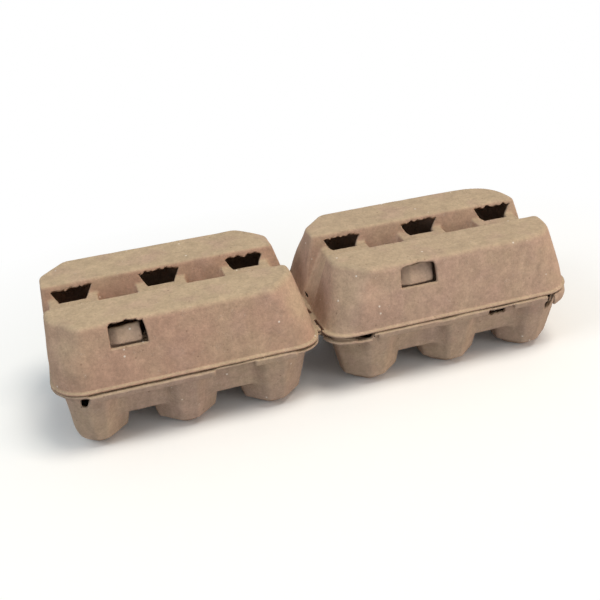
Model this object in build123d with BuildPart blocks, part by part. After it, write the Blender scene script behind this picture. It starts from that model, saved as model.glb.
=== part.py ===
from build123d import *
import os
from math import hypot, radians, tan

# Twelve-egg carton of moulded pulp: two six-egg cartons joined end to end by a perforated tear
# line. It stands on its cup bottoms, X runs along its length, the latches face -Y, the lid folds
# along +Y and Z is up. Heights are measured from the seam between tray and lid, and each six-egg
# carton is drawn about its own middle, with its far end towards +X and its near end towards the
# tear line, before it goes to its side of that line. The moulding is drawn in simple pieces that
# meet face to face: each cup is a piece of its own below the tray's floor. All sizes are in
# millimetres.

# Pulp sheet and running gaps
wall = 2.0
seam_gap = 0.3
post_gap = 0.3
latch_gap = 0.6

# Plan of one six-egg carton
cell_pitch = 47.8
row_pitch = 46.0
near_spread = 4.0
tie_reach = 3.0
rim_width = 2.2
far_radius = 18.0
near_radius = 12.0

# Lid with two ridges along its length
lid_height = 36.0
end_lean = 6.5
side_lean = 4.3
ridge_cut = (14.5, 15.5)
far_foot_cut = 10.5
near_foot_cut = 6.8
corner_radius = 7.0
crown_radius = 2.4

# Valley between the ridges
valley_width = 27.0
valley_draft = 10.5
saddle_drop = 8.5
recess_length = 24.0
recess_drop = 25.0
groove_setback = 3.0
groove_foot = 3.0

# Vents cut through the saddles and the foot of the rear ridge
vent_rear_width = 21.0
vent_front_width = 15.6
vent_front_y = 7.9
vent_top_drop = 4.0

# Latch window in the lid's front wall, and the button behind it
window_x = -24.2
window_width = 19.6
window_height = 12.3
window_drop = 2.2
window_lean = 2.6
window_radius = 2.5
button_width = 16.6
button_height = 10.4
button_lift = 0.7
button_depth = 1.2
button_radius = 2.0

# Tray with a tub above and six cups below
tray_depth = 38.0
tub_drop = 21.0
tub_step = 4.3
tub_side_lean = 4.0
tub_end_lean = 8.0
tub_radius = 12.0
cup_lip = 4.0
cup_size = (22.2, 21.3)
cup_cut = (16.0, 14.0)
cup_draft = 12.8
shoulder_rise = 8.0
shoulder_draft = 43.0
post_size = (11.0, 11.0)
post_cut = (5.0, 5.0)
post_draft = 11.0

# Locking flap, folded up from the tray's front rim
flap_length = 65.0
flap_shoulder = 18.0
peak_width = 26.0
peak_gap = 0.8
flap_radius = 4.0
lobe_width = 22.0
lobe_height = 12.0
lobe_draft = 4.0

# Tear line between the two cartons
slit_length = 9.0
slit_width = 0.8
tie_length = 4.0
slit_count = 5

# Plan sizes that follow from the ones above
far_foot = cell_pitch + cup_size[0]
near_foot = far_foot + near_spread
foot_depth = row_pitch / 2 + cup_size[1]
half_pitch = near_foot + tie_reach
rim_depth = foot_depth + rim_width
ridge_length = far_foot - end_lean
ridge_depth = foot_depth - side_lean
tub_depth = foot_depth - tub_step
groove_start = ridge_length - groove_setback
ends = ((1, far_foot, far_foot_cut), (-1, near_foot, near_foot_cut))
right_place = (half_pitch, 0, tray_depth)
left_place = (-half_pitch, 0, tray_depth)

# Heights and depths that follow from the ones above
saddle_height = lid_height - saddle_drop
recess_height = lid_height - recess_drop
post_height = recess_height - wall - post_gap
window_base = lid_height - window_drop - window_height
button_base = window_base + button_lift
wall_reach = (rim_depth + foot_depth - wall) * lid_height / hypot(side_lean, lid_height)
button_reach = wall_reach - latch_gap
shoulder_drop = tray_depth - shoulder_rise

# Flap sizes that follow from the ones above
flap_start = far_radius - far_foot
flap_end = flap_start + flap_length
flap_peak = lid_height - wall - peak_gap
flap_reach = button_reach - button_depth
lobe_end = far_foot - far_radius
lobe_start = lobe_end - lobe_width


def leaning(way, distance, height, lean, inset):
    """Plane of a wall that stands a distance out from the middle at one height.

    The wall comes in by the lean for each unit of rise, and the inset moves it further in,
    measured across the wall.
    """
    outward = (way + Vector(0, 0, lean)).normalized()
    return Plane(origin=way * distance + Vector(0, 0, height) - outward * inset, z_dir=outward)


def walled(base, top, walls, inset):
    """Body between two heights and inside a set of leaning walls."""
    with BuildPart() as body:
        with BuildSketch(Plane.XY.offset(base)):
            Rectangle(4 * near_foot, 4 * foot_depth)
        extrude(amount=top - base)
        for wall_place in walls:
            split(bisect_by=leaning(*wall_place, inset), keep=Keep.BOTTOM)
    return body.part


def octagon(size, cut):
    """Ways and distances of the eight sides of a rectangle with its corners taken off."""
    slant = hypot(cut[0], cut[1])
    reach = (size[0] * cut[1] + size[1] * cut[0] - cut[0] * cut[1]) / slant
    halves = (
        (Vector(1, 0, 0), size[0]),
        (Vector(0, 1, 0), size[1]),
        (Vector(cut[1], cut[0], 0) / slant, reach),
        (Vector(cut[1], -cut[0], 0) / slant, reach),
    )
    return [(way * turn, distance) for way, distance in halves for turn in (1, -1)]


def slanting(edge):
    """Whether an edge runs up a corner rather than level."""
    return abs(edge.tangent_at(0.5).Z) > 0.5


def corner_plane(side, face, foot, foot_cut, inset):
    """Leaning plane that takes off one corner of the lid, more at the ridge than at the foot."""
    high = Vector(side * (ridge_length - ridge_cut[0]), face * ridge_depth, lid_height)
    low = Vector(side * (foot - foot_cut), face * foot_depth, 0)
    across = Vector(-side * ridge_cut[0], face * ridge_cut[1], 0)
    outward = across.cross(high - low).normalized() * (side * face)
    return Plane(origin=high - outward * inset, x_dir=across, z_dir=outward)


def recess(inset):
    """Deep part of the valley over one post, grown by the inset."""
    lean = -tan(radians(valley_draft))
    walls = [
        (way, distance, lid_height, lean)
        for way, distance in (
            (Vector(1, 0, 0), recess_length / 2),
            (Vector(-1, 0, 0), recess_length / 2),
            (Vector(0, 1, 0), valley_width / 2),
            (Vector(0, -1, 0), valley_width / 2),
        )
    ]
    return walled(recess_height - inset, lid_height + wall, walls, -inset)


def groove(inset, base, floors):
    """Long trough between the ridges, above a base and above sloping floors, grown by the inset."""
    lean = -tan(radians(valley_draft))
    walls = [(Vector(0, turn, 0), valley_width / 2, lid_height, lean) for turn in (1, -1)]
    return walled(base, lid_height + wall, walls + floors, -inset)


def valley(inset):
    """Space between the ridges: the groove, a recess over each post, and both end grooves."""
    with BuildPart() as space:
        add(groove(inset, saddle_height - inset, []))
        with GridLocations(cell_pitch, 0, 2, 1):
            add(recess(inset))
        for side, foot, _ in ends:
            fall = (foot - groove_start) / (saddle_height - groove_foot)
            add(groove(inset, 0, [(Vector(-side, 0, 0), -groove_start, saddle_height, -fall)]))
    return space.part


def lid_form(inset):
    """Solid bounded by the lid's outer skin, or by its inner skin when inset by the wall."""
    walls = (
        (Vector(1, 0, 0), far_foot, 0, end_lean / lid_height),
        (Vector(-1, 0, 0), near_foot, 0, (end_lean + near_spread) / lid_height),
        (Vector(0, 1, 0), foot_depth, 0, side_lean / lid_height),
        (Vector(0, -1, 0), foot_depth, 0, side_lean / lid_height),
    )
    with BuildPart() as form:
        add(walled(seam_gap, lid_height - inset, walls, inset))
        for side, foot, foot_cut in ends:
            for face in (1, -1):
                plane = corner_plane(side, face, foot, foot_cut, inset)
                split(bisect_by=plane, keep=Keep.BOTTOM)
        fillet(form.edges().filter_by(slanting), corner_radius - inset)
        if not inset:
            fillet(form.faces().sort_by(Axis.Z)[-1].edges(), crown_radius)
        add(valley(inset), mode=Mode.SUBTRACT)
    return form.part


def rim(height):
    """Rim sheet of one carton, still closed across the middle, with its half of each tear tie."""
    far, near = far_foot + rim_width, near_foot + rim_width
    with BuildPart() as sheet:
        with BuildSketch(Plane.XY.offset(height)) as plan:
            Polygon((far, -rim_depth), (far, rim_depth), (-near, rim_depth), (-near, -rim_depth), align=None)
            corners = plan.vertices().group_by(Axis.X)
            fillet(corners[-1], far_radius + rim_width)
            fillet(corners[0], near_radius + rim_width)
            with Locations((-half_pitch, 0)):
                Rectangle(half_pitch - near_foot, 2 * (foot_depth - near_radius), align=(Align.MIN, Align.CENTER))
                with GridLocations(0, slit_length + tie_length, 1, slit_count):
                    Rectangle(slit_width, slit_length, mode=Mode.SUBTRACT)
        extrude(amount=wall)
    return sheet.part


# Lid of one six-egg carton, before its window is cut
with BuildPart() as lid_shell:
    add(lid_form(0))
    add(rim(seam_gap))
    add(lid_form(wall), mode=Mode.SUBTRACT)
    with BuildSketch(Plane.XY.offset(saddle_height - 2 * wall)):
        with GridLocations(cell_pitch, 0, 3, 1):
            Polygon(
                (-vent_front_width / 2, vent_front_y),
                (vent_front_width / 2, vent_front_y),
                (vent_rear_width / 2, valley_width / 2),
                (vent_rear_width / 2, valley_width / 2 + 2 * wall),
                (-vent_rear_width / 2, valley_width / 2 + 2 * wall),
                (-vent_rear_width / 2, valley_width / 2),
                align=None,
            )
    extrude(amount=saddle_drop + 2 * wall - vent_top_drop, mode=Mode.SUBTRACT)

# Opening in the front wall that the latch button shows through
with BuildPart() as window:
    with BuildSketch(Plane.XZ.offset(ridge_depth - 2 * wall)) as window_face:
        Polygon(
            (window_x - window_width / 2, window_base),
            (window_x + window_width / 2, window_base),
            (window_x + window_width / 2 - window_lean, window_base + window_height),
            (window_x - window_width / 2, window_base + window_height),
            align=None,
        )
        fillet(window_face.vertices().group_by(Axis.Y)[-1], window_radius)
    extrude(amount=4 * wall)


def cup(inset):
    """Cup for one egg: a straight lip, gently drafted walls, and a steeper foot."""
    draft = tan(radians(cup_draft))
    narrowed = (shoulder_drop - cup_lip) * draft
    walls = []
    for way, distance in octagon(cup_size, cup_cut):
        walls.append((way, distance, 0, 0))
        walls.append((way, distance, -cup_lip, -draft))
        walls.append((way, distance - narrowed, -shoulder_drop, -tan(radians(shoulder_draft))))
    return walled(inset - tray_depth, 0, walls, inset)


def tray_form(inset):
    """Solid bounded by the tray's outer skin, or by its inner skin when inset by the wall."""
    walls = (
        (Vector(1, 0, 0), far_foot, 0, -tub_end_lean / tub_drop),
        (Vector(-1, 0, 0), near_foot, 0, -(tub_end_lean + near_spread) / tub_drop),
        (Vector(0, 1, 0), tub_depth, 0, -tub_side_lean / tub_drop),
        (Vector(0, -1, 0), tub_depth, 0, -tub_side_lean / tub_drop),
    )
    with BuildPart() as form:
        add(walled(inset - tub_drop, 0, walls, inset))
        fillet(form.edges().filter_by(slanting), tub_radius - inset)
        with GridLocations(cell_pitch, row_pitch, 3, 2):
            add(cup(inset))
    return form.part


def post(inset):
    """Post that stands where four cells meet and holds the lid up at a recess."""
    lean = tan(radians(post_draft))
    walls = [(way, distance, -tub_drop, lean) for way, distance in octagon(post_size, post_cut)]
    return walled(-tub_drop, post_height - inset, walls, inset)


# Tray of one six-egg carton down to its floor, before its flap is added
with BuildPart() as tray_shell:
    add(tray_form(0))
    add(rim(-wall))
    add(tray_form(wall), mode=Mode.SUBTRACT)
    with GridLocations(cell_pitch, 0, 2, 1):
        add(post(0))
        add(post(wall), mode=Mode.SUBTRACT)
    split(bisect_by=Plane.XY.offset(-tub_drop), keep=Keep.TOP)

# Lower part of one cup, which carries on under the tray's floor
with BuildPart() as cup_shell:
    add(cup(0))
    add(cup(wall), mode=Mode.SUBTRACT)
    split(bisect_by=Plane.XY.offset(-tub_drop), keep=Keep.BOTTOM)


def swung_sheet(reach, thickness):
    """Sheet bent about the lid's fold line, so that the opening lid swings past it."""
    with BuildPart() as sheet:
        with BuildSketch(Plane.YZ.offset(flap_start)):
            with Locations((rim_depth, 0)):
                Circle(reach)
                Circle(reach - thickness, mode=Mode.SUBTRACT)
            with Locations((rim_depth - reach, -wall)):
                Rectangle(reach, lid_height, align=(Align.CENTER, Align.MIN), mode=Mode.INTERSECT)
        extrude(amount=lobe_end - flap_start)
    return sheet.part


# Leaf of the locking flap: a long tongue with a raised middle, and a small lobe
with BuildPart() as leaf:
    add(swung_sheet(flap_reach, wall))
    with BuildSketch(Plane.XZ) as leaf_face:
        Polygon(
            (flap_start, -wall),
            (flap_end, -wall),
            (flap_end, flap_shoulder),
            (window_x + peak_width / 2, flap_shoulder),
            (window_x + peak_width / 2, flap_peak),
            (window_x - peak_width / 2, flap_peak),
            (window_x - peak_width / 2, flap_shoulder),
            (flap_start, flap_shoulder),
            align=None,
        )
        fillet(leaf_face.vertices().filter_by(lambda corner: corner.Y > 0), flap_radius)
        Polygon(
            (lobe_start, -wall),
            (lobe_end, -wall),
            (lobe_end - lobe_draft, lobe_height),
            (lobe_start + lobe_draft, lobe_height),
            align=None,
        )
    extrude(amount=rim_depth, mode=Mode.INTERSECT)

# Button on the leaf, seen in the lid's window
with BuildPart() as button:
    add(swung_sheet(button_reach, button_depth + wall / 2))
    with BuildSketch(Plane.XZ):
        with Locations((window_x, button_base + button_height / 2)):
            RectangleRounded(button_width, button_height, button_radius)
    extrude(amount=rim_depth, mode=Mode.INTERSECT)

# Folded foot of the flap: the rim turned in towards the leaf, over a second layer under the rim
with BuildPart() as fold:
    for start, end in ((flap_start, flap_end), (lobe_start, lobe_end)):
        for height, inner in ((-wall, rim_depth - flap_reach + wall), (-2 * wall, -tub_depth)):
            with BuildSketch(Plane.XY.offset(height)):
                with Locations((start, -rim_depth)):
                    Rectangle(end - start, rim_depth + inner, align=(Align.MIN, Align.MIN))
            extrude(amount=wall)

# Pieces of the right carton
with BuildPart() as lid_right:
    with Locations(right_place):
        add(lid_shell.part)
        add(window.part, mode=Mode.SUBTRACT)
with BuildPart() as tray_right:
    with Locations(right_place):
        add(tray_shell.part)
        add(leaf.part)
        add(button.part)
        add(fold.part)

# Pieces of the left carton: its shells are mirrored, its window and flap are not
left_lid_shell = mirror(lid_shell.part, about=Plane.YZ)
left_tray_shell = mirror(tray_shell.part, about=Plane.YZ)
with BuildPart() as lid_left:
    with Locations(left_place):
        add(left_lid_shell)
        add(window.part, mode=Mode.SUBTRACT)
with BuildPart() as tray_left:
    with Locations(left_place):
        add(left_tray_shell)
        add(leaf.part)
        add(button.part)
        add(fold.part)

pieces = {
    "lid_left": lid_left,
    "lid_right": lid_right,
    "tray_left": tray_left,
    "tray_right": tray_right,
}

# Cups under both trays
for side, middle in (("left", -half_pitch), ("right", half_pitch)):
    for row, row_turn in (("front", -1), ("rear", 1)):
        for column in (1, 2, 3):
            with BuildPart() as cup_piece:
                with Locations((middle + (column - 2) * cell_pitch, row_turn * row_pitch / 2, tray_depth)):
                    add(cup_shell.part)
            pieces[f"cup_{side}_{row}_{column}"] = cup_piece

os.makedirs("parts", exist_ok=True)
for name, piece in pieces.items():
    piece.part.label = name
    export_step(piece.part, f"parts/{name}.step")
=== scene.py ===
"""Looks of the twelve-egg pulp carton: two six-egg cartons joined end to end by a tear line.

Every shell is worked out as a distance field in millimetres about its own carton's middle, with
heights from the seam, and then turned into a mesh in metres in the part's frame.
"""

from functools import lru_cache
from math import atan, cos, hypot, pi, radians, sin, tan

import bpy
import numpy as np
from mathutils import Matrix, Vector


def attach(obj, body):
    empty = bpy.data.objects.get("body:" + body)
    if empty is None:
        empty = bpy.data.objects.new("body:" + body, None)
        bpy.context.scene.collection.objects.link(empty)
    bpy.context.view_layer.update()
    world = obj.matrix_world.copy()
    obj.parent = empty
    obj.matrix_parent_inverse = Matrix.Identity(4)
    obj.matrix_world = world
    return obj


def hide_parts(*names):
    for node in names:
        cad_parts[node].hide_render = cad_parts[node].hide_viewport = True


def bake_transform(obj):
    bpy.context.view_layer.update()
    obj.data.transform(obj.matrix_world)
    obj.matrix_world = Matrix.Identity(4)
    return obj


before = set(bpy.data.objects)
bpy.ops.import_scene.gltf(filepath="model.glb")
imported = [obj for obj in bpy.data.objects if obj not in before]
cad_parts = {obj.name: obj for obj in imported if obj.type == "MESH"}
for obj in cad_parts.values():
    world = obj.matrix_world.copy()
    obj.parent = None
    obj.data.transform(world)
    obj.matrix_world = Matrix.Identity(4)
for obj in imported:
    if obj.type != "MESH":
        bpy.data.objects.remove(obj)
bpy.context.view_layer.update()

# Units and places, in millimetres
MM = 0.001
SEAM = 38.0
HALF_PITCH = 77.0
FOLD = (46.5, 0.15)

# Pulp sheet
WALL = 2.0
SEAM_GAP = 0.1
RIM_THICK = 1.5
RIM_WIDTH = 0.95
RIM_TUCK = 1.2
TORN_THICK = 1.6

# Lattices that the shells are meshed on: steps, cells in a block, and the value well outside
LID_STEP = 0.86
TRAY_STEP = 0.9
FINE_STEP = 0.4
BLOCK = 4
OUTSIDE = 9.0

# Lid, with heights from the seam and depths from the middle; a draft or lean is an angle's cosine
# or tangent, and a round is the breadth over which two faces blend
LID_HEIGHT = 36.0
RIDGE_DEPTH = 40.0
RIDGE_CUT = (14.5, 15.5)
FOOT_DEPTH = 44.3
NEAR_FOOT = 74.0
FAR_RADIUS = 18.0
NEAR_RADIUS = 12.0
CORNER_ROUND = 6.0
EDGE_ROUND = 2.2
ARC_CUT = 0.586
WALL_LEAN = 0.985
FLARE_FADE = 2.5
BELLY = 0.5
CROWN_TRIM = 0.16
CROWN_ROUND = (3.2, 1.4)
VALLEY_HALF = 13.5
VALLEY_ROUND = 1.8
DRAFT = tan(radians(10.5))
SADDLE = 27.5
RECESS_FLOOR = 11.0
RECESS_HALF = 12.0
RECESS_ROUND = 2.0
GROOVE_START = 60.5
GROOVE_FOOT = 3.0
CELL_PITCH = 47.8
ROW_PITCH = 46.0

# Vents and windows: the vents' front edge as distance and half width, and how they widen
VENT_FRONT = (7.9, 7.3)
VENT_WIDENING = 0.56
VENT_CLIMB = (0.47, 0.88)
VENT_REACH = 18.0
WINDOW_X = -24.2

# Tray, with drops below the seam; a cup's pair is its half length and half depth
TUB_DROP = 21.0
TUB_TOP_DEPTH = 40.0
TUB_FOOT = (62.0, 36.0)
TUB_LEAN = (0.97, 0.98)
CUP_TOP = (22.2, 21.3)
CUP_SHOULDER = (15.7, 14.8)
CUP_LEDGE = 1.2
CUP_BOTTOM = (9.0, 8.2)
CUP_CUT = (16.0, 14.0)
CUP_LIP = 4.0
CUP_SHOULDER_DROP = 32.8
CUP_LEAN = (0.97, 0.78)
CUP_ROUND = 1.2
FOOT_ROUND = 2.2
POST_FOOT = 9.0
POST_TOP = 3.0
POST_HEIGHT = 8.7
POST_ROUND = 2.0
FLAP_REACH = 85.4
FLAP_HALF_THICK = 0.9
FLAP_SHOULDER = 18.0
FLAP_PEAK_HALF = 13.0
LOBE_HEIGHT = 12.0

# Cuts of the tear line as X and Y of both ends from the pair's middle, and the torn places
SLITS = (
    (5.1, 35.2, 5.1, 23.1), (5.0, 12.2, 4.3, 3.7), (0.2, -21.2, 0.6, -32.2),
    (0.0, -25.5, 0.3, -20.5), (0.2, -12.0, -0.2, -6.5), (0.0, 24.5, 0.2, 30.0),
)
SLIT_HALF = 0.65
SLIT_REACH = 4.0
STRIP = (2.9, 32.3)
TEAR_LEAN = 0.3
SLOT_FLOOR = 4.2

# Fold strip: turning radii of its outer and inner skin, and its middle's distance from the fold
FOLD_RADII = (1.4, 0.7)
FOLD_BACK = 1.55
FOLD_COLUMNS = 120
FOLD_ROWS = 17

# Pulp colours
PALE_PULP = (0.49, 0.37, 0.245, 1)
ROSY_PULP = (0.45, 0.29, 0.235, 1)
EDGE_PULP = (0.60, 0.45, 0.30, 1)
# Painted shade: dark brown laid into concave bends and creases
PAINTED_CREASE_SHADE = (0.24, 0.145, 0.10, 1)
TORN_PULP = (0.36, 0.25, 0.18, 1)
FIBRE = (0.74, 0.64, 0.54, 1)
DARK_SPECK = (0.20, 0.12, 0.08, 1)
PALE_SPECK = (0.85, 0.80, 0.72, 1)
BROWN_SPECK = (0.26, 0.16, 0.11, 1)

# Camera: turn, rise and roll in degrees, place in millimetres, focal length in picture widths
CAMERA_TURN = (15.532, 28.099, -4.178)
CAMERA_PLACE = (-124.34, -440.63, 286.44)
CAMERA_FOCUS = 912.53 / 600

# Lamps: place and side in metres, power in watts, colour
LAMPS = {
    "key lamp": ((0.45, -0.45, 1.88), 0.8, 20.5, (1.0, 0.94, 0.83)),
    "fill lamp": ((-1.1, -0.35, 1.0), 0.6, 5.4, (0.92, 0.97, 1.0)),
    "front lamp": ((1.05, -1.3, 0.33), 0.6, 6.8, (1.0, 0.955, 0.90)),
    "warm lamp": ((1.3, -0.45, 0.4), 0.5, 2.8, (1.0, 0.55, 0.28)),
}
AMBIENT = (0.88, 0.96, 1.0, 1)
AMBIENT_STRENGTH = 0.38
FLOOR_HALF = 3.0
FLOOR_FADE = (0.12, 0.26)
FLOOR_SQUEEZE = (0.75, 1.0, 1.0)
FLOOR_BOUNCE = (0.5, 0.5, 0.5, 1)
WHITE = (1.0, 1.0, 1.0, 1)

# What differs between the two cartons, as the photograph shows them. Ends, ridges and cuts are
# called far at the outer end and near at the tear line; every X elsewhere runs along the pair from
# the carton's own middle.
LEFT = {
    "name": "left", "side": -1, "seed": 11,
    # Lid: its ends at the foot and the ridges, corner cuts, and bulges as height, middle, breadths
    "far_foot": 65.2, "skew": 0.03, "flare": 0.0,
    "far_ridge": 63.2, "near_ridge": 64.6, "rear_ridge": 42.8,
    "far_cut": (14.5, 15.5), "far_round": 2.2,
    "bulges": (
        (1.3, (-57.0, -41.0, 15.0), (10.0, 14.0, 9.0)),
        (-0.8, (-60.0, -40.0, 28.0), (7.0, 12.0, 4.0)),
    ),
    "vent_tops": (31.9, 33.2, 32.0),
    # Latch: window as left, right, low, high; button as middle X and Z and half sizes; its height,
    # crease and fall to each side
    "window": (-34.4, -15.7, 21.4, 34.6), "window_lean": 1.6, "window_torn": 0.6,
    "button": (-24.6, 27.8, 6.2, 6.0), "button_raise": (2.3, -30.5, 0.45, 0.0), "button_slope": 0.5,
    "bands": ((-50.0, 14.8), (36.6, 59.0)), "flap_peak": 29.8, "flap_rise": 0.08,
    # Tray: tub ends, and how the outer cups are held in and rounded
    "tub_far": (62.0, 60.5), "cup_limit": 62.0, "cup_round": 7.0,
    # Seam: gaps as start, end, amount; tears as left, right, low, high; hanging rim; torn slot
    "gaps": ((-50.0, 15.0, 0.6), (59.0, 84.0, 1.0), (-90.0, -58.0, 0.1)),
    "tears": ((-53.6, -49.2, -8.4, -2.4),),
    "lip": (90.0, 1.0), "slot": (58.0, 76.0),
}
RIGHT = {
    "name": "right", "side": 1, "seed": 29,
    "far_foot": 71.0, "skew": 0.0, "flare": 2.4,
    "far_ridge": 62.2, "near_ridge": 66.0, "rear_ridge": 41.2,
    "far_cut": (11.0, 11.0), "far_round": 9.0,
    "bulges": (
        (1.8, (-57.0, -41.0, 14.0), (9.0, 14.0, 9.0)),
        (-1.0, (-47.0, -42.0, 25.0), (6.0, 12.0, 5.5)),
    ),
    "vent_tops": (31.7, 33.2, 33.2),
    "window": (-33.9, -13.4, 21.3, 33.9), "window_lean": 1.0, "window_torn": 0.2,
    "button": (-24.0, 27.6, 9.9, 6.2), "button_raise": (2.9, -27.6, 0.30, 0.08), "button_slope": 1.0,
    "bands": ((-49.0, 16.6), (32.5, 53.0)), "flap_peak": 31.6, "flap_rise": 0.04,
    "tub_far": (70.0, 62.0), "cup_limit": 80.0, "cup_round": 1.8,
    "gaps": (
        (-80.0, -52.0, 2.3), (-61.0, -51.5, 0.8), (-13.0, -2.0, 0.5), (18.0, 31.0, 0.4), (54.0, 84.0, 0.6),
    ),
    "tears": ((17.0, 31.2, -8.6, -5.2), (53.0, 66.0, -11.0, 0.6)),
    "lip": (58.0, 7.5), "slot": (-76.0, -53.0),
}


def smooth_max(a, b, width):
    """Larger of two fields, with the corner between them rounded over a band of that width."""
    share = np.maximum(width - np.abs(a - b), 0) / width
    return np.maximum(a, b) + share * share * width / 4


def smooth_min(a, b, width):
    """Smaller of two fields, with the corner between them filled over a band of that width."""
    return -smooth_max(-a, -b, width)


def ramp(value, low, high):
    """Rises smoothly from 0 at low to 1 at high: three squares less two cubes of the share."""
    share = np.clip((value - low) / (high - low), 0, 1)
    return share * share * (3 - 2 * share)


@lru_cache(maxsize=None)
def lattice(seed):
    """Random values from -1 to 1 on a cubic lattice of 48 points a side, in one row."""
    return np.random.default_rng(seed).uniform(-1, 1, 48 ** 3)


def noise(x, y, z, pitch, seed):
    """Random field from -1 to 1: random values on a cubic lattice, blended between its corners."""
    values = lattice(seed)
    cells, weights = [], []
    for value in (x, y, z):
        place = value / pitch + seed % 48
        whole = np.floor(place)
        part = place - whole
        cells.append(whole.astype(np.int64))
        weights.append(part * part * (3 - 2 * part))
    ends = []
    for cell, size in zip(cells, (48 * 48, 48, 1)):
        ends.append(((cell % 48) * size, ((cell + 1) % 48) * size))
    total = 0
    for corner in range(8):
        bits = (corner & 1, corner >> 1 & 1, corner >> 2 & 1)
        weight = 1
        for part, bit in zip(weights, bits):
            weight = weight * (part if bit else 1 - part)
        total = total + weight * values[ends[0][bits[0]] + ends[1][bits[1]] + ends[2][bits[2]]]
    return total


def jags(x, pitch, seed):
    """Torn edge from -1 to 1 along a line: random heights joined by straight runs."""
    heights = lattice(seed)[:512]
    return np.interp(x / pitch + 256, np.arange(512), heights)


def corner_cut(x, y, reach, depth, cut):
    """Distance past the slanting line that takes cut[0] off a corner along X and cut[1] along Y."""
    length = np.hypot(cut[0], cut[1])
    return ((x - reach) * cut[1] + (y - depth) * cut[0] + cut[0] * cut[1]) / length


def lid_outline(carton, x, y, z):
    """Distance outside the lid's leaning side walls, whose corners change from cuts to arcs."""
    share = np.clip(z / LID_HEIGHT, -0.2, 1.1)
    swell = BELLY * np.sin(pi * np.clip(share, 0, 1))
    far = x > 0
    foot = np.where(far, carton["far_foot"] - carton["skew"] * y, NEAR_FOOT)
    ridge = np.where(far, carton["far_ridge"], carton["near_ridge"])
    flare = np.where(far, 0, carton["flare"]) * np.clip(1 - FLARE_FADE * share, 0, 1.2) ** 2
    top_depth = np.where(y > 0, carton["rear_ridge"], RIDGE_DEPTH)
    reach = foot + (ridge - foot) * share + swell + flare
    depth = FOOT_DEPTH + (top_depth - FOOT_DEPTH) * share + swell
    near_radius = np.where(y > 0, 0.5 * NEAR_RADIUS, NEAR_RADIUS)
    arc = ARC_CUT * np.where(far, FAR_RADIUS, near_radius)
    top_cut = [np.where(far, f, n) for f, n in zip(carton["far_cut"], RIDGE_CUT)]
    blend = ramp(share, 0.22, 1.02)
    cut = [arc + (top - arc) * blend for top in top_cut]
    width = CORNER_ROUND + (np.where(far, carton["far_round"], EDGE_ROUND) - CORNER_ROUND) * blend
    ends = (np.abs(x) - reach) * WALL_LEAN
    sides = (np.abs(y) - depth) * WALL_LEAN
    walls = smooth_max(ends, sides, width)
    corner = corner_cut(np.abs(x), np.abs(y), reach, depth, cut) * WALL_LEAN
    return smooth_max(walls, corner, width)


def valley(carton, x, y, z):
    """Negative in the space between the ridges, over the saddles, recesses and end grooves."""
    half = VALLEY_HALF - (LID_HEIGHT - z) * DRAFT
    walls = (np.abs(y) - half) * cos(atan(DRAFT))
    floor = SADDLE - z
    for middle in (-CELL_PITCH / 2, CELL_PITCH / 2):
        recess_half = RECESS_HALF - (LID_HEIGHT - z) * DRAFT
        sides = (np.abs(x - middle) - recess_half) * cos(atan(DRAFT))
        recess = smooth_max(sides, RECESS_FLOOR - z, RECESS_ROUND)
        floor = smooth_min(floor, recess, 1.1)
    for end, foot in ((1, carton["far_foot"]), (-1, NEAR_FOOT)):
        run, drop = foot - GROOVE_START, SADDLE - GROOVE_FOOT
        slope = -((end * x - GROOVE_START) * drop + (z - SADDLE) * run) / hypot(run, drop)
        floor = smooth_min(floor, slope, 1.5)
    return smooth_max(walls, floor, VALLEY_ROUND)


def vent(carton, x, y, z):
    """Negative in the three vents: cut clean in the floor, wider up the wall and torn at the top."""
    seed = carton["seed"]
    columns = np.clip(np.round(x / CELL_PITCH), -1, 1)
    climb = VENT_CLIMB[0] * (y - VENT_FRONT[0]) + VENT_CLIMB[1] * (z - SADDLE)
    half = VENT_FRONT[1] + VENT_WIDENING * np.clip(climb, 0, 8)
    top = np.choose((columns + 1).astype(int), carton["vent_tops"])
    jag = 0.75 * jags(x, 2.3, seed) + 0.5 * jags(x, 1.1, seed + 1)
    hole = np.maximum(np.abs(x - columns * CELL_PITCH) - half, VENT_FRONT[0] - y)
    hole = np.maximum(hole, np.maximum(z - top + jag, np.maximum(20 - z, y - VENT_REACH)))
    return hole + 0.15 * noise(x, y, z, 2.4, seed)


def window(carton, x, z):
    """Negative in the latch window: a trapezoid with rounded top corners, torn along its top."""
    seed = carton["seed"]
    left, right, low, high = carton["window"]
    share = np.clip((z - low) / (high - low), 0, 1)
    side = x - right + carton["window_lean"] * share * share
    hole = smooth_max(smooth_max(left - x, side, 0.6), low - z, 0.6)
    hole = smooth_max(hole, z - high + 0.06 * np.abs(x - (left + right) / 2), 3.5)
    torn = 0.08 + carton["window_torn"] * ramp(z, high - 3, high - 1)
    return hole + torn * jags(x, 1.7, seed + 2)


def sheet(form, thickness):
    """Layer of that thickness just inside the surface where a form's distance is zero."""
    return np.abs(form + thickness / 2) - thickness / 2


def gap(carton, x, y):
    """Opening of the front seam along one carton: a little everywhere, and more in some stretches."""
    total = 0.12 + 0.12 * noise(x, y, 0 * x, 6.0, carton["seed"] + 6)
    for start, end, amount in carton["gaps"]:
        total = total + amount * ramp(x, start - 1.5, start + 1.5) * (1 - ramp(x, end - 1.5, end + 1.5))
    return total * (1 - 0.8 * ramp(y, -30, -15))


def slits(carton, x, y, z):
    """Negative in the cuts of the tear line: the distance to the nearest run, less half a width."""
    cuts = None
    across = x + carton["side"] * HALF_PITCH
    for x0, y0, x1, y1 in SLITS:
        run, rise = x1 - x0, y1 - y0
        share = np.clip(((across - x0) * run + (y - y0) * rise) / (run * run + rise * rise), 0, 1)
        away = np.hypot(across - x0 - share * run, y - y0 - share * rise) - SLIT_HALF
        cuts = away if cuts is None else np.minimum(cuts, away)
    return np.maximum(np.abs(z) - SLIT_REACH, cuts)


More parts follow.
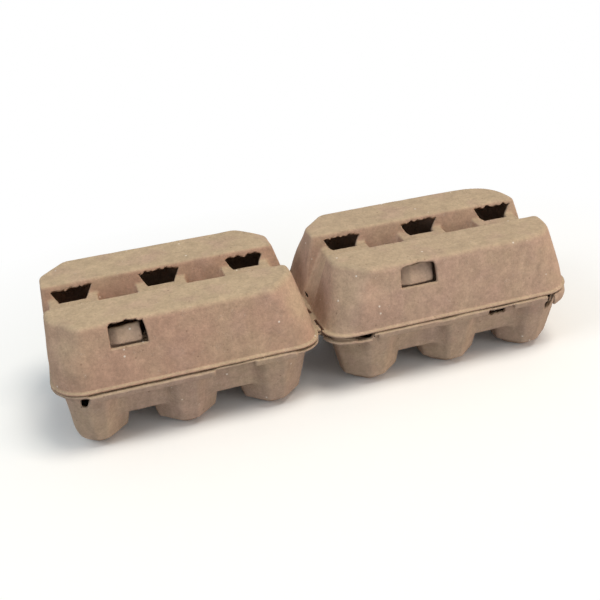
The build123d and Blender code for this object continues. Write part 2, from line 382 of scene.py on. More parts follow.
def rim(outline, inside, x, y, z, middle, seed):
    """Flat flange round a carton: from just inside its wall to past the foot, with an uneven edge."""
    edge = outline - RIM_WIDTH + 0.25 * noise(x, y, 0 * z, 7.0, seed)
    flange = smooth_max(edge, -inside - RIM_TUCK, 0.8)
    return smooth_max(flange, np.abs(z - middle) - RIM_THICK / 2, 0.6)


def bulges(carton, x, y, z):
    """Swellings and dents left by drying: bells, each with a height, a middle and three breadths."""
    total = 0
    for height, middle, breadth in carton["bulges"]:
        away = [(value - m) / b for value, m, b in zip((x, y, z), middle, breadth)]
        total = total + height * np.exp(-(away[0] ** 2 + away[1] ** 2 + away[2] ** 2))
    return total


def lid_form(carton, x, y, z):
    """Distance outside the lid's outer skin, with its ridges and the valley between them."""
    mx = carton["side"] * x
    seed = carton["seed"]
    crown = np.where(y > 0, CROWN_ROUND[1], CROWN_ROUND[0])
    walls = lid_outline(carton, mx, y, z) - bulges(carton, x, y, z)
    form = smooth_max(walls, z - LID_HEIGHT + CROWN_TRIM, crown)
    form = smooth_max(form, -valley(carton, mx, y, z), VALLEY_ROUND)
    return form + 0.12 + 0.22 * noise(x, y, z, 19.0, seed) + 0.1 * noise(x, y, z, 5.5, seed + 5)


def lid_shell(carton, x, y, z):
    """Lid: the sheet inside its outer skin, with rim, vents and window."""
    seed = carton["seed"]
    foot = lid_outline(carton, carton["side"] * x, y, 0 * z)
    flange = rim(foot, foot, x, y, z, SEAM_GAP + RIM_THICK / 2, seed + 7)
    shell = smooth_min(sheet(lid_form(carton, x, y, z), WALL), flange, 0.9)
    shell = smooth_max(shell, SEAM_GAP - z, 0.5)
    shell = smooth_max(shell, -slits(carton, x, y, z), 0.4)
    shell = smooth_max(shell, -vent(carton, x, y, z), 0.5)
    opening = np.maximum(window(carton, x, z), np.maximum(y + 34, -y - 48))
    return smooth_max(shell, -opening, 0.5)


def tub(carton, x, y, z):
    """Distance outside the tray's tub, whose walls lean in towards the cell floor."""
    share = -z / TUB_DROP
    far = x > 0
    top = np.where(far, carton["tub_far"][0], NEAR_FOOT)
    reach = top + (np.where(far, carton["tub_far"][1], TUB_FOOT[0]) - top) * share
    depth = TUB_TOP_DEPTH + (TUB_FOOT[1] - TUB_TOP_DEPTH) * share
    arc = ARC_CUT * np.where(far, FAR_RADIUS, NEAR_RADIUS)
    ends = (np.abs(x) - reach) * TUB_LEAN[0]
    sides = (np.abs(y) - depth) * TUB_LEAN[1]
    walls = smooth_max(ends, sides, CORNER_ROUND)
    corner = corner_cut(np.abs(x), np.abs(y), reach, depth, (arc, arc))
    walls = smooth_max(walls, corner, CORNER_ROUND)
    return smooth_max(walls, -TUB_DROP - z, 2.0)


def cups(carton, x, y, z):
    """Distance outside the six cups: tapered octagons with a ledge and a shallower foot."""
    column = np.clip(np.round(x / CELL_PITCH), -1, 1)
    row = np.where(y > 0, 1, -1)
    ax = np.abs(x - column * CELL_PITCH)
    ay = np.abs(y - row * ROW_PITCH / 2)
    round_end = CUP_ROUND + (carton["cup_round"] - CUP_ROUND) * ramp(x, CELL_PITCH, CELL_PITCH + 8)
    upper = np.clip((-CUP_LIP - z) / (CUP_SHOULDER_DROP - CUP_LIP), 0, 2)
    lower = (-CUP_SHOULDER_DROP - z) / (SEAM - CUP_SHOULDER_DROP)
    ledge = (CUP_SHOULDER[0] - CUP_LEDGE, CUP_SHOULDER[1] - CUP_LEDGE)
    body = None
    parts = ((CUP_TOP, CUP_SHOULDER, upper, CUP_LEAN[0]), (ledge, CUP_BOTTOM, lower, CUP_LEAN[1]))
    for top, bottom, share, lean in parts:
        reach = top[0] + (bottom[0] - top[0]) * share
        depth = top[1] + (bottom[1] - top[1]) * share
        scale = reach / CUP_TOP[0]
        cut = (CUP_CUT[0] * scale, CUP_CUT[1] * scale)
        walls = smooth_max((ax - reach) * lean, (ay - depth) * lean, CUP_ROUND)
        walls = smooth_max(walls, corner_cut(ax, ay, reach, depth, cut) * lean, round_end)
        if body is None:
            body = walls
        else:
            foot = smooth_min(walls, -CUP_SHOULDER_DROP - z, 0.6)
            body = smooth_max(body, foot, 0.7)
    body = smooth_max(body, x - carton["cup_limit"] - 0.04 * z, carton["cup_round"])
    return smooth_max(body, -SEAM - z, FOOT_ROUND)


def posts(x, y, z):
    """Negative in the hollow of the two posts that hold the lid up."""
    ax = np.abs(np.abs(x) - CELL_PITCH / 2)
    ay = np.abs(y)
    share = (z + TUB_DROP) / (POST_HEIGHT - WALL + TUB_DROP)
    reach = POST_FOOT + (POST_TOP - POST_FOOT) * share
    walls = smooth_max(ax - reach, ay - reach, POST_ROUND)
    walls = smooth_max(walls, corner_cut(ax, ay, reach, reach, (0.45 * reach, 0.45 * reach)), POST_ROUND)
    return smooth_max(walls * 0.97, z - POST_HEIGHT + WALL, POST_ROUND)


def band(carton, x, y, z):
    """Rolled lip where the locking flap folds in from the front rim, in two lengths."""
    lip = None
    for start, end in carton["bands"]:
        length = np.abs(x - (start + end) / 2) - (end - start) / 2
        length = length + 0.4 * noise(x, y, z, 3.0, carton["seed"] + 9)
        roll = smooth_max(np.abs(z + 2.2) - 1.9, -46.3 - y - 0.25 * (z + 0.5), 0.8)
        roll = smooth_max(roll, y + 38.5 - 0.6 * (z + 4), 1.0)
        piece = smooth_max(roll, length, 0.8)
        lip = piece if lip is None else np.minimum(lip, piece)
    return lip


def flap(carton, x, y, z):
    """Leaf bent about the lid's fold: a long tongue, a raised middle with a button, and a lobe."""
    reach = np.hypot(y - FOLD[0], z)
    middle_x, middle_z, half_x, half_z = carton["button"]
    right = x - middle_x
    across = np.where(right < 0, -right * carton["button_slope"], right)
    press = smooth_max(across - half_x, np.abs(z - middle_z) - half_z, 2.0)
    raised, crease, fall_left, fall_right = carton["button_raise"]
    raised = raised - fall_left * np.maximum(crease - x, 0) - fall_right * np.maximum(x - crease, 0)
    button = np.maximum(raised, 0) * ramp(-press, -1.2, 0.4)
    leaf = np.abs(reach - FLAP_REACH - button) - FLAP_HALF_THICK
    start, end = carton["bands"][0]
    tongue = smooth_max(start - 1 - x, x - end + 1, 1.0)
    tongue = smooth_max(tongue, z - FLAP_SHOULDER, 7.0)
    ragged = 0.25 * jags(x, 3.1, carton["seed"] + 13)
    top = carton["flap_peak"] + carton["flap_rise"] * (right + 6) + ragged
    peak = smooth_max(WINDOW_X - FLAP_PEAK_HALF - x, x - middle_x - half_x - 0.4, 1.0)
    peak = smooth_max(peak, z - top, 1.5)
    tongue = smooth_min(tongue, peak, 4.0)
    start, end = carton["bands"][1]
    lobe = np.abs(x - (start + end) / 2) - (end - start) / 2 + 1 + 0.2 * z
    lobe = smooth_max(lobe, z - LOBE_HEIGHT, 6.0)
    shape = np.minimum(tongue, lobe) + 0.5 * noise(x, y, z, 4.0, carton["seed"] + 12)
    shape = np.maximum(shape, -1.5 - z)
    return smooth_max(smooth_max(leaf, shape, 0.8), y, 0.5)


def tray_form(carton, x, y, z):
    """Distance outside the tray's outer skin: tub and cups, less the hollows of the posts."""
    seed = carton["seed"] + 40
    mx = carton["side"] * x
    form = smooth_min(tub(carton, mx, y, z), cups(carton, mx, y, z), 1.8)
    form = form + 0.15 + 0.2 * noise(x, y, z, 15.0, seed) + 0.1 * noise(x, y, z, 5.0, seed + 1)
    return smooth_max(form, -posts(mx, y, z), 2.5)


def tear(carton, x, y, z):
    """Negative in the ragged holes that the flap leaves in the tray's front wall."""
    hole = None
    for left, right, low, high in carton["tears"]:
        side = x - right + TEAR_LEAN * (high - z)
        height = np.abs(z - (low + high) / 2) - (high - low) / 2
        piece = smooth_max(smooth_max(left - x, side, 1.0), height, 1.0)
        hole = piece if hole is None else np.minimum(hole, piece)
    hole = hole + 0.5 * noise(x, y, z, 2.2, carton["seed"] + 15)
    return np.maximum(hole, y + 34)


def slot(carton, foot, x, y, z):
    """Negative in the slot behind the tray's rim where the seam gapes, along the foot's outline."""
    start, end = carton["slot"]
    length = np.abs(x - (start + end) / 2) - (end - start) / 2
    hole = np.maximum(length, np.abs(foot + 4.6) - 2.9)
    hole = np.maximum(hole, np.maximum(-SLOT_FLOOR - z, y + 31))
    return hole + 0.4 * noise(x, y, z, 3.0, carton["seed"] + 33)


def drooping_lip(carton, foot, x, y, z):
    """Torn rim that hangs at the outer front corner: a curled sheet along the foot, shorter rearwards."""
    start, drop = carton["lip"]
    low = -drop + 0.45 * np.maximum(y + 43, 0) + 0.8 * noise(x, y, 0 * z, 4.0, carton["seed"] + 31)
    hang = smooth_max(low - z, smooth_max(start - x, z + 0.2, 0.6), 1.2)
    curl = foot - 0.4 + 0.12 * (z + 3) ** 2 * 0.5 + 0.4 * noise(x, y, z, 4.0, carton["seed"] + 32)
    return smooth_max(hang, np.abs(curl) - TORN_THICK / 2, 0.8)


def tray_shell(carton, x, y, z):
    """Tray: the sheet inside its tub and cups, with posts, rim, rolled lip and locking flap."""
    seed = carton["seed"] + 40
    mx = carton["side"] * x
    sunk = z + gap(carton, x, y)
    hollow = posts(mx, y, z)
    foot = lid_outline(carton, mx, y, 0 * z)
    level = 0 * z - 1
    inside = np.minimum(tub(carton, mx, y, level), cups(carton, mx, y, level))
    flange = rim(foot, inside, x, y, sunk, -RIM_THICK / 2, seed + 2)
    shell = smooth_min(sheet(tray_form(carton, x, y, z), WALL), flange, 0.9)
    shell = smooth_max(shell, sunk, 0.5)
    column = np.maximum(np.abs(hollow - WALL / 2) - WALL / 2, -TUB_DROP + 2 - z)
    column = smooth_max(column, z - POST_HEIGHT + 0.1, 0.8)
    shell = np.minimum(shell, column)
    shell = np.minimum(shell, band(carton, x, y, sunk))
    shell = np.maximum(shell, -tear(carton, x, y, z))
    shell = smooth_max(shell, -slits(carton, x, y, z), 0.4)
    shell = smooth_max(shell, -slot(carton, foot, x, y, z), 0.5)
    shell = np.minimum(shell, drooping_lip(carton, foot, x, y, sunk))
    shell = np.minimum(shell, flap(carton, x, y, z))
    return smooth_max(shell, -SEAM + 0.02 - z, 0.3)


def sampled(field, axes):
    """Values of a field on a lattice, worked out only in the blocks that its surface may cross.

    The rest count as outside: a block is left out when the field at its middle is more than the
    block's half diagonal and a margin for the field's unevenness.
    """
    shape = tuple(len(axis) for axis in axes)
    step = axes[0][1] - axes[0][0]
    middles = [axis[::BLOCK] + (BLOCK - 1) / 2 * step for axis in axes]
    coarse = field(*[part.ravel() for part in np.meshgrid(*middles, indexing="ij")])
    near = (coarse < 1.1 * BLOCK * step + 1.2).reshape(tuple(len(axis) for axis in middles))
    for axis in range(3):
        near = np.repeat(near, BLOCK, axis=axis)
    near = near[:shape[0], :shape[1], :shape[2]]
    values = np.full(shape, OUTSIDE)
    place = np.nonzero(near)
    values[place] = field(*[axis[index] for axis, index in zip(axes, place)])
    return values


def net(field, low, high, step):
    """Mesh of a field's zero surface: one point in each lattice cell that the surface crosses.

    A cell's point is the mean of the crossings on its edges, found by linear interpolation, and
    each crossed lattice edge gives the quad through its four cells, turned to face outwards.
    """
    axes = [np.arange(a - 1.5 * step, b + 2.5 * step, step) for a, b in zip(low, high)]
    values = sampled(field, axes)
    cells = tuple(n - 1 for n in values.shape)
    points, places, quads = [], [], []
    for axis in range(3):
        first = np.moveaxis(values, axis, 0)[:-1]
        second = np.moveaxis(values, axis, 0)[1:]
        crossed = (first < 0) != (second < 0)
        crossed[:, 0, :] = crossed[:, -1, :] = crossed[:, :, 0] = crossed[:, :, -1] = False
        i, j, k = np.nonzero(crossed)
        a, b = first[i, j, k], second[i, j, k]
        place = np.stack([i + a / (a - b), j, k], axis=1).astype(float)
        order = [axis] + [n for n in range(3) if n != axis]
        point = np.empty_like(place)
        point[:, order] = place
        corners = []
        for dj, dk in ((-1, -1), (0, -1), (0, 0), (-1, 0)):
            cell = np.empty_like(place, dtype=int)
            cell[:, order] = np.stack([i, j + dj, k + dk], axis=1)
            flat = np.ravel_multi_index(cell.T, cells)
            points.append(point)
            places.append(flat)
            corners.append(flat)
        quad = np.stack(corners, axis=1)
        turn = (a < 0) if axis != 1 else (a >= 0)
        quad[~turn] = quad[~turn][:, ::-1]
        quads.append(quad)
    points, places = np.concatenate(points), np.concatenate(places)
    used, index = np.unique(places, return_inverse=True)
    count = np.bincount(index)
    point = np.stack([np.bincount(index, weights=points[:, axis]) / count for axis in range(3)], axis=1)
    point = np.array([axis[0] for axis in axes]) + point * step
    return point, np.searchsorted(used, np.concatenate(quads))


def slope_of(field, point, reach):
    """Gradient of a field at each point, from its change over a small distance each way."""
    parts = []
    for axis in range(3):
        shift = np.zeros(3)
        shift[axis] = reach
        ahead, behind = point + shift, point - shift
        parts.append((field(*ahead.T) - field(*behind.T)) / (2 * reach))
    return np.stack(parts, axis=1)


def settle(field, point, step):
    """Moves each point along the slope on to the zero surface, by under half a lattice step."""
    start = point.copy()
    for _ in range(2):
        slope = slope_of(field, point, 0.12)
        length2 = np.maximum((slope * slope).sum(axis=1), 0.25)
        point = point - slope * (field(*point.T) / length2)[:, None]
        moved = point - start
        length = np.maximum(np.linalg.norm(moved, axis=1), 1e-9)
        point = start + moved * np.minimum(1, 0.6 * step / length)[:, None]
    return point


def mesh_object(name, point, quads, normal, marks):
    """Smooth-shaded mesh of points in metres, with one number for each point under each mark."""
    mesh = bpy.data.meshes.new(name)
    mesh.vertices.add(len(point))
    mesh.vertices.foreach_set("co", point.astype(np.float32).ravel())
    mesh.loops.add(quads.size)
    mesh.loops.foreach_set("vertex_index", quads.astype(np.int32).ravel())
    mesh.polygons.add(len(quads))
    mesh.polygons.foreach_set("loop_start", np.arange(0, quads.size, 4, dtype=np.int32))
    mesh.polygons.foreach_set("use_smooth", np.ones(len(quads), dtype=bool))
    mesh.update(calc_edges=True)
    mesh.validate()
    mesh.normals_split_custom_set_from_vertices(normal)
    for mark, values in marks.items():
        attribute = mesh.attributes.new(mark, "FLOAT", "POINT")
        attribute.data.foreach_set("value", values.astype(np.float32))
    made = bpy.data.objects.new(name, mesh)
    bpy.context.scene.collection.objects.link(made)
    return made


def shell_piece(name, carton, shell, form, low, high, step, body, nodes):
    """Mesh of one carton's shell, marked where it bends, where it is torn and where it faces up."""
    def field(x, y, z):
        return shell(carton, x, y, z)

    def skin(x, y, z):
        return form(carton, x, y, z)

    point, quads = net(field, low, high, step)
    point = settle(field, point, step)
    slope = slope_of(field, point, 0.35)
    slope = slope / np.maximum(np.linalg.norm(slope, axis=1), 1e-6)[:, None]
    ahead, behind = point + 1.5 * slope, point - 1.5 * slope
    # bend: positive on convex edges and negative in creases; the negative part drives painted crease shade
    bend = (skin(*ahead.T) + skin(*behind.T) - 2 * skin(*point.T)) / 1.5
    torn = np.exp(-np.abs(vent(carton, *point.T)) / 0.9) * (point[:, 2] > 29)
    torn = torn + np.exp(-np.abs(window(carton, point[:, 0], point[:, 2])) / 0.7) * (point[:, 1] < -36)
    middle = np.array([carton["side"] * HALF_PITCH, 0, SEAM])
    # upward: how much the surface faces up; it places the wall runs and the painted top light
    marks = {"bend": bend, "torn": torn, "upward": np.maximum(slope[:, 2], 0)}
    piece = mesh_object(name, (point + middle) * MM, quads, slope, marks)
    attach(piece, body)
    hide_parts(*nodes)
    return piece


def tear_field(x, y, z):
    """Strip between the two rims, with the cuts of the tear line."""
    strip = smooth_max(np.abs(x) - STRIP[0], np.abs(y) - STRIP[1], 2.0)
    strip = smooth_max(strip, np.abs(z) - RIM_THICK / 2, 0.7)
    return smooth_max(strip, -slits({"side": 0}, x, y, z), 0.4)


def tear_piece(name, height, body):
    """Mesh of the perforated strip at one height above the seam."""
    point, quads = net(tear_field, (-STRIP[0], -STRIP[1], -1), (*STRIP, 1), FINE_STEP)
    point = settle(tear_field, point, FINE_STEP)
    slope = slope_of(tear_field, point, 0.2)
    slope = slope / np.maximum(np.linalg.norm(slope, axis=1), 1e-6)[:, None]
    marks = {"bend": 0 * point[:, 0], "torn": 0 * point[:, 0] + 0.4, "upward": np.maximum(slope[:, 2], 0)}
    piece = mesh_object(name, (point + np.array([0, 0, SEAM + height])) * MM, quads, slope, marks)
    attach(piece, body)
    return piece


def fold_piece(carton):
    """Folded hinge strip behind the rear rims: a half round whose two ends lie in the two rims."""
    start, end = sorted((carton["side"] * -(NEAR_FOOT - 11), carton["side"] * (carton["far_foot"] - 16)))
    along = np.linspace(start, end, FOLD_COLUMNS)
    turn = np.linspace(-pi / 2, pi / 2, FOLD_ROWS)
    middle_y = FOLD[0] - FOLD_BACK
    point, quads = [], []
    for reach in FOLD_RADII:
        for angle in turn:
            wave = 0.12 * noise(along, 0 * along + 9 * angle, 0 * along, 2.5, carton["seed"] + 21)
            y = middle_y + (reach + wave) * cos(angle)
            z = FOLD[1] + (reach + wave) * sin(angle)
            point.append(np.stack([along, y, z], axis=1))
    point = np.stack(point)
    rows = list(range(FOLD_ROWS)) + list(range(2 * FOLD_ROWS - 1, FOLD_ROWS - 1, -1))
    for row, after in zip(rows, rows[1:] + rows[:1]):
        a = row * FOLD_COLUMNS + np.arange(FOLD_COLUMNS - 1)
        b = after * FOLD_COLUMNS + np.arange(FOLD_COLUMNS - 1)
        quads.append(np.stack([a, b, b + 1, a + 1], axis=1))
    outer = np.arange(FOLD_ROWS - 1) * FOLD_COLUMNS
    inner = outer + FOLD_ROWS * FOLD_COLUMNS
    above, within = outer + FOLD_COLUMNS, inner + FOLD_COLUMNS
    quads.append(np.stack([outer, inner, within, above], axis=1))
    quads.append(np.stack([outer, above, within, inner], axis=1) + FOLD_COLUMNS - 1)
    point = point.reshape(-1, 3)
    out = point - np.array([0, middle_y, FOLD[1]])
    out[:, 0] = 0
    out[FOLD_ROWS * FOLD_COLUMNS:] *= -1
    out = out / np.maximum(np.linalg.norm(out, axis=1), 1e-6)[:, None]
    middle = np.array([carton["side"] * HALF_PITCH, 0, SEAM])
    even = np.ones(len(point))
    marks = {"bend": 0.2 * even, "torn": 0.3 * even, "upward": np.maximum(out[:, 2], 0)}
    piece = mesh_object(f"fold_{carton['name']}", (point + middle) * MM, np.concatenate(quads), out, marks)
    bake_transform(piece)
    return piece


def new_group(name, inputs, outputs):
    """Empty shader group with named inputs and outputs, given as (name, kind, default)."""
    group = bpy.data.node_groups.new(name, "ShaderNodeTree")
    for label, kind, value in inputs:
        socket = group.interface.new_socket(label, in_out="INPUT", socket_type=kind)
        if value is not None:
            socket.default_value = value
    for label, kind in outputs:
        group.interface.new_socket(label, in_out="OUTPUT", socket_type=kind)
    return group


def node(tree, kind, settings=None, inputs=None):
    """One shader node with its settings and its unlinked inputs or links."""
    made = tree.nodes.new(kind)
    for key, value in (settings or {}).items():
        setattr(made, key, value)
    for key, value in (inputs or {}).items():
        if isinstance(value, bpy.types.NodeSocket):
            tree.links.new(value, made.inputs[key])
        else:
            made.inputs[key].default_value = value
    return made


def scaled_noise(tree, vector, scale, detail, rough=0.5):
    """Noise texture on a vector, at a scale in lumps per metre."""
    return node(tree, "ShaderNodeTexNoise", {}, {
        "Vector": vector, "Scale": scale, "Detail": detail, "Roughness": rough,
    })


def span(tree, value, low, high, to_low=0.0, to_high=1.0):
    """Value mapped from one range on to another, and held within it."""
    return node(tree, "ShaderNodeMapRange", {"clamp": True}, {
        "Value": value, "From Min": low, "From Max": high, "To Min": to_low, "To Max": to_high,
    }).outputs["Result"]


def mixed(tree, share, first, second, mode="MIX"):
    """Two colours mixed by a share."""
    made = tree.nodes.new("ShaderNodeMix")
    made.data_type = "RGBA"
    made.blend_type = mode
    for index, value in ((0, share), (6, first), (7, second)):
        if isinstance(value, bpy.types.NodeSocket):
            tree.links.new(value, made.inputs[index])
        else:
            made.inputs[index].default_value = value
    return made.outputs[2]


def product(tree, first, second):
    """Product of two numbers."""
    return node(tree, "ShaderNodeMath", {"operation": "MULTIPLY"}, {0: first, 1: second}).outputs["Value"]


def shaded(tree, color, shade):
    """Colour times a grey shade."""
    grey = node(tree, "ShaderNodeCombineColor", {}, {"Red": shade, "Green": shade, "Blue": shade})
    return mixed(tree, 1.0, color, grey.outputs["Color"], "MULTIPLY")


def specks(tree, place, scale, reach, chance):
    """Sparse round dots: Voronoi cells picked by chance, filled out to a reach."""
    dots = node(tree, "ShaderNodeTexVoronoi", {"feature": "F1"}, {"Vector": place, "Scale": scale})
    pick = node(tree, "ShaderNodeSeparateColor", {}, {"Color": dots.outputs["Color"]}).outputs["Red"]
    some = node(tree, "ShaderNodeMath", {"operation": "GREATER_THAN"}, {0: pick, 1: chance})
    disc = span(tree, dots.outputs["Distance"], reach, reach * 0.6)
    return product(tree, disc, some.outputs["Value"])


def pulp_group():
    """Recycled pulp: clouded tan with runs down its walls, fibres, flecks and a felted height, with painted
    shade in its creases and a painted light tint on what faces up.
    """
    group = new_group("recycled pulp", [
        ("Vector", "NodeSocketVector", None),
        ("Side", "NodeSocketColor", (0.47, 0.325, 0.245, 1)),
        ("Top", "NodeSocketColor", (0.475, 0.36, 0.238, 1)),
        ("Bend", "NodeSocketFloat", 0.0),
        ("Torn", "NodeSocketFloat", 0.0),
        ("Upward", "NodeSocketFloat", 0.0),
    ], [
        ("Color", "NodeSocketColor"), ("Roughness", "NodeSocketFloat"), ("Height", "NodeSocketFloat"),
    ])
    start = group.nodes.new("NodeGroupInput").outputs
    end = group.nodes.new("NodeGroupOutput").inputs
    place = start["Vector"]
    # Painted top light: surfaces that face up are tinted towards a warmer, paler tan, as if lit from above
    level = span(group, start["Upward"], 0.25, 0.85)
    color = mixed(group, level, start["Side"], start["Top"])
    clouds = scaled_noise(group, place, 34, 3).outputs["Fac"]
    color = mixed(group, span(group, clouds, 0.40, 0.68, 0.0, 0.5), color, PALE_PULP)
    rosy = scaled_noise(group, place, 55, 2).outputs["Fac"]
    color = mixed(group, span(group, rosy, 0.52, 0.72, 0.0, 0.4), color, ROSY_PULP)
    tall = node(group, "ShaderNodeVectorMath", {"operation": "MULTIPLY"}, {
        0: place, 1: (1.0, 1.0, 0.2),
    }).outputs["Vector"]
    runs = scaled_noise(group, tall, 260, 3, 0.6).outputs["Fac"]
    upright = span(group, start["Upward"], 0.45, 0.15)
    amount = product(group, span(group, runs, 0.34, 0.66, -0.055, 0.045), upright)
    streaks = node(group, "ShaderNodeMath", {"operation": "ADD"}, {0: amount, 1: 1.0}).outputs["Value"]
    color = shaded(group, color, streaks)
    mottle = scaled_noise(group, place, 700, 4, 0.7).outputs["Fac"]
    color = shaded(group, color, span(group, mottle, 0.25, 0.75, 0.81, 1.17))
    blots = scaled_noise(group, place, 170, 3, 0.6).outputs["Fac"]
    color = shaded(group, color, span(group, blots, 0.3, 0.7, 0.88, 1.10))
    color = mixed(group, span(group, start["Bend"], 0.15, 1.0, 0.0, 0.35), color, EDGE_PULP)
    # Painted shade in creases: concave bends are darkened towards a dark brown
    color = mixed(group, span(group, start["Bend"], -0.15, -1.0, 0.0, 0.45), color, PAINTED_CREASE_SHADE)
    color = mixed(group, span(group, start["Torn"], 0.2, 0.9, 0.0, 0.35), color, TORN_PULP)
    warp = scaled_noise(group, place, 160, 2).outputs["Color"]
    bent = node(group, "ShaderNodeMix", {"data_type": "VECTOR"}, {0: 0.012})
    group.links.new(place, bent.inputs[4])
    group.links.new(warp, bent.inputs[5])
    cells = node(group, "ShaderNodeTexVoronoi", {"feature": "DISTANCE_TO_EDGE"}, {
        "Vector": bent.outputs[1], "Scale": 260.0,
    })
    lines = span(group, cells.outputs["Distance"], 0.014, 0.0)
    keep = scaled_noise(group, place, 240, 1).outputs["Fac"]
    fibres = product(group, lines, span(group, keep, 0.60, 0.66))
    color = mixed(group, product(group, fibres, 0.45), color, FIBRE)
    for scale, reach, chance, share, tint in (
        (260.0, 0.17, 0.86, 0.55, DARK_SPECK),
        (200.0, 0.13, 0.84, 0.7, PALE_SPECK),
        (520.0, 0.22, 0.84, 0.35, BROWN_SPECK),
    ):
        color = mixed(group, product(group, specks(group, place, scale, reach, chance), share), color, tint)
    group.links.new(color, end["Color"])
    group.links.new(span(group, mottle, 0.3, 0.7, 0.84, 0.98), end["Roughness"])
    felt = scaled_noise(group, place, 1100, 3, 0.6).outputs["Fac"]
    lumps = scaled_noise(group, place, 230, 3, 0.55).outputs["Fac"]
    height = node(group, "ShaderNodeMath", {"operation": "MULTIPLY_ADD"}, {
        0: lumps, 1: 1.3, 2: felt}).outputs["Value"]
    height = node(group, "ShaderNodeMath", {"operation": "MULTIPLY_ADD"}, {
        0: fibres, 1: 0.35, 2: height}).outputs["Value"]
    group.links.new(height, end["Height"])
    return group


def pulp_material(name, group, side, top):
    """Matt pulp with a felted bump, coloured by its walls' tan, with a warmer tan painted on what faces up
    as painted top light.
    """
    material = bpy.data.materials.new(name)
    material.use_nodes = True
    tree = material.node_tree
    shader = tree.nodes["Principled BSDF"]
    place = tree.nodes.new("ShaderNodeTexCoord").outputs["Object"]
    marks = {}
    for mark in ("bend", "torn", "upward"):
        marks[mark.title()] = node(tree, "ShaderNodeAttribute", {"attribute_name": mark}).outputs["Fac"]
    pulp = node(tree, "ShaderNodeGroup", {"node_tree": group}, {
        "Vector": place, "Side": side, "Top": top, **marks,
    })
    bump = node(tree, "ShaderNodeBump", {}, {
        "Strength": 0.5, "Distance": 0.0005, "Height": pulp.outputs["Height"],
    })
    tree.links.new(pulp.outputs["Color"], shader.inputs["Base Color"])
    tree.links.new(pulp.outputs["Roughness"], shader.inputs["Roughness"])
    tree.links.new(bump.outputs["Normal"], shader.inputs["Normal"])
    shader.inputs["Specular IOR Level"].default_value = 0.2
    return material


def camera():
    """Camera at the photograph's angle: placed by its yaw, elevation and roll about the carton."""
    yaw, rise, roll = (radians(angle) for angle in CAMERA_TURN)
    back = Vector((-sin(yaw) * cos(rise), -cos(yaw) * cos(rise), sin(rise)))
    level = Vector((cos(yaw), -sin(yaw), 0))
    upright = back.cross(level)
    right = level * cos(roll) + upright * sin(roll)
    up = upright * cos(roll) - level * sin(roll)
    data = bpy.data.cameras.new("camera")
    data.lens = CAMERA_FOCUS * data.sensor_width
    made = bpy.data.objects.new("camera", data)
    turn = Matrix((right, up, back)).transposed()
    made.matrix_world = Matrix.Translation(Vector(CAMERA_PLACE) * MM) @ turn.to_4x4()
    bpy.context.scene.collection.objects.link(made)
    bpy.context.scene.camera = made


def lamp(name, place, size, power, color):
    """Square soft lamp aimed at the carton's middle."""
    data = bpy.data.lights.new(name, "AREA")
    data.size = size
    data.energy = power
    data.color = color
    made = bpy.data.objects.new(name, data)
    aim = Vector((0, 0, 0.03)) - Vector(place)
    made.matrix_world = Matrix.Translation(place) @ aim.to_track_quat("-Z", "Y").to_matrix().to_4x4()
    bpy.context.scene.collection.objects.link(made)


def seen_share(tree):
    """1 for the rays that show a surface to the camera, straight, in a reflection or through glass."""
    ray = tree.nodes.new("ShaderNodeLightPath").outputs
    share = ray["Is Camera Ray"]
    for kind in ("Is Glossy Ray", "Is Transmission Ray"):
        larger = node(tree, "ShaderNodeMath", {"operation": "MAXIMUM"}, {0: share, 1: ray[kind]})
        share = larger.outputs["Value"]
    return share


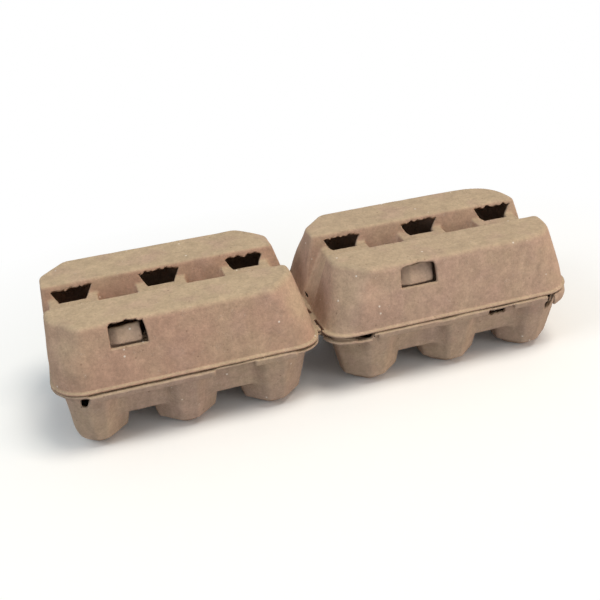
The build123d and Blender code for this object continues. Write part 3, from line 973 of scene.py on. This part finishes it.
def studio():
    """White surroundings, soft lamps, and a pale floor that turns plain white away from the carton."""
    world = bpy.data.worlds.new("surroundings")
    bpy.context.scene.world = world
    world.use_nodes = True
    tree = world.node_tree
    plain = tree.nodes["Background"]
    plain.inputs["Color"].default_value = AMBIENT
    plain.inputs["Strength"].default_value = AMBIENT_STRENGTH
    seen = node(tree, "ShaderNodeBackground", {}, {"Color": WHITE, "Strength": 1.0})
    choose = tree.nodes.new("ShaderNodeMixShader")
    tree.links.new(seen_share(tree), choose.inputs[0])
    tree.links.new(plain.outputs[0], choose.inputs[1])
    tree.links.new(seen.outputs[0], choose.inputs[2])
    tree.links.new(choose.outputs[0], tree.nodes["World Output"].inputs["Surface"])
    for name, (place, size, power, color) in LAMPS.items():
        lamp(name, place, size, power, color)

    half = FLOOR_HALF
    mesh = bpy.data.meshes.new("floor")
    corners = [(-half, -half, 0), (half, -half, 0), (half, half, 0), (-half, half, 0)]
    mesh.from_pydata(corners, [], [(0, 1, 2, 3)])
    floor = bpy.data.objects.new("floor", mesh)
    bpy.context.scene.collection.objects.link(floor)
    material = bpy.data.materials.new("floor paper")
    material.use_nodes = True
    tree = material.node_tree
    shader = tree.nodes["Principled BSDF"]
    paper = mixed(tree, seen_share(tree), FLOOR_BOUNCE, WHITE)
    tree.links.new(paper, shader.inputs["Base Color"])
    shader.inputs["Roughness"].default_value = 0.95
    shader.inputs["Specular IOR Level"].default_value = 0.0
    white = node(tree, "ShaderNodeEmission", {}, {"Color": WHITE, "Strength": 1.0})
    place = tree.nodes.new("ShaderNodeTexCoord").outputs["Object"]
    squeezed = node(tree, "ShaderNodeVectorMath", {"operation": "MULTIPLY"}, {0: place, 1: FLOOR_SQUEEZE})
    away = node(tree, "ShaderNodeVectorMath", {"operation": "LENGTH"}, {0: squeezed.outputs["Vector"]})
    share = product(tree, span(tree, away.outputs["Value"], *FLOOR_FADE), seen_share(tree))
    choose = tree.nodes.new("ShaderNodeMixShader")
    tree.links.new(share, choose.inputs[0])
    tree.links.new(shader.outputs[0], choose.inputs[1])
    tree.links.new(white.outputs[0], choose.inputs[2])
    tree.links.new(choose.outputs[0], tree.nodes["Material Output"].inputs["Surface"])
    mesh.materials.append(material)


camera()
studio()

group = pulp_group()
# Each pulp gives a wall tan and a painted top light tan for what faces up
lid_pulps = {
    "left": pulp_material("left lid pulp", group, (0.475, 0.30, 0.218, 1), (0.475, 0.355, 0.238, 1)),
    "right": pulp_material("right lid pulp", group, (0.475, 0.318, 0.240, 1), (0.47, 0.35, 0.238, 1)),
}
# Painted shade: the trays get a darker, greyer copy of the lid pulp, standing in for the shade the cups lie
# in
below = pulp_material("tray pulp with painted shade", group, (0.44, 0.31, 0.24, 1), (0.45, 0.34, 0.235, 1))
for carton in (LEFT, RIGHT):
    side = carton["name"]
    lid = shell_piece(
        f"lid_shell_{side}", carton, lid_shell, lid_form, (-76.5, -46, 0), (76.5, 46, 36), LID_STEP,
        "lid", [f"lid_{side}"],
    )
    cup_nodes = [f"cup_{side}_{row}_{column}" for row in ("front", "rear") for column in (1, 2, 3)]
    tray = shell_piece(
        f"tray_shell_{side}", carton, tray_shell, tray_form, (-76.5, -46, -38), (76.5, 46, 34), TRAY_STEP,
        "root", [f"tray_{side}"] + cup_nodes,
    )
    lid.data.materials.append(lid_pulps[side])
    tray.data.materials.append(below)
    fold_piece(carton).data.materials.append(below)
tear_piece("tear_line_lid", SEAM_GAP + RIM_THICK / 2, "lid").data.materials.append(lid_pulps["left"])
tear_piece("tear_line_tray", -RIM_THICK / 2 - 0.2, "root").data.materials.append(below)

bpy.context.scene.view_settings.view_transform = "Standard"
